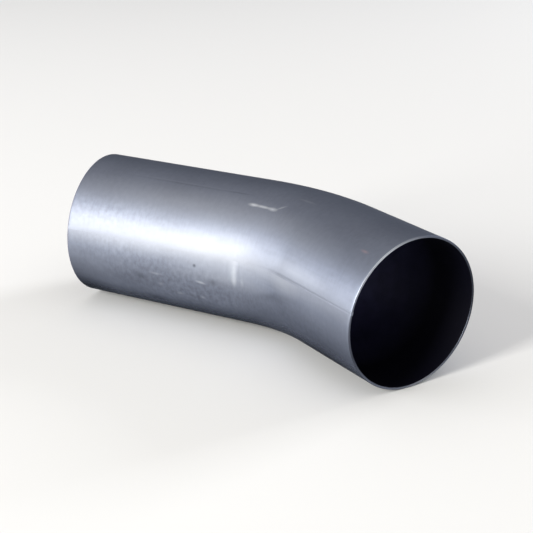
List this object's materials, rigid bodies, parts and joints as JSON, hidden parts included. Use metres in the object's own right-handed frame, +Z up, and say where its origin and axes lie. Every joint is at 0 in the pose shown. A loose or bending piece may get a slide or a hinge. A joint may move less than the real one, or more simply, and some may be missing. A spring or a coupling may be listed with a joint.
{
  "type": "flue elbow",
  "caption": "Thin-walled bare steel flue elbow: a seam-welded round tube, mandrel bent through a shallow angle, with plain square-cut ends that slip into or clamp to round flue tube.",
  "frame": {"origin": "middle of the elbow's footprint, on the surface that it lies on", "axes": "+X along the inlet leg, from the open inlet towards the bend; the outlet leg turns off it towards -Y; +Z up, square to the plane of the bend"},
  "size_m": [0.2867, 0.1498, 0.1016],
  "materials": {
    "tube_steel": "bare mill finish, satin, drawn lengthwise",
    "weld_metal": "weld dressed flush outside, bead left inside"
  },
  "bodies": {
    "root": {"tube_wall": "tube_steel", "seam_weld": "weld_metal"}
  },
  "joints": []
}
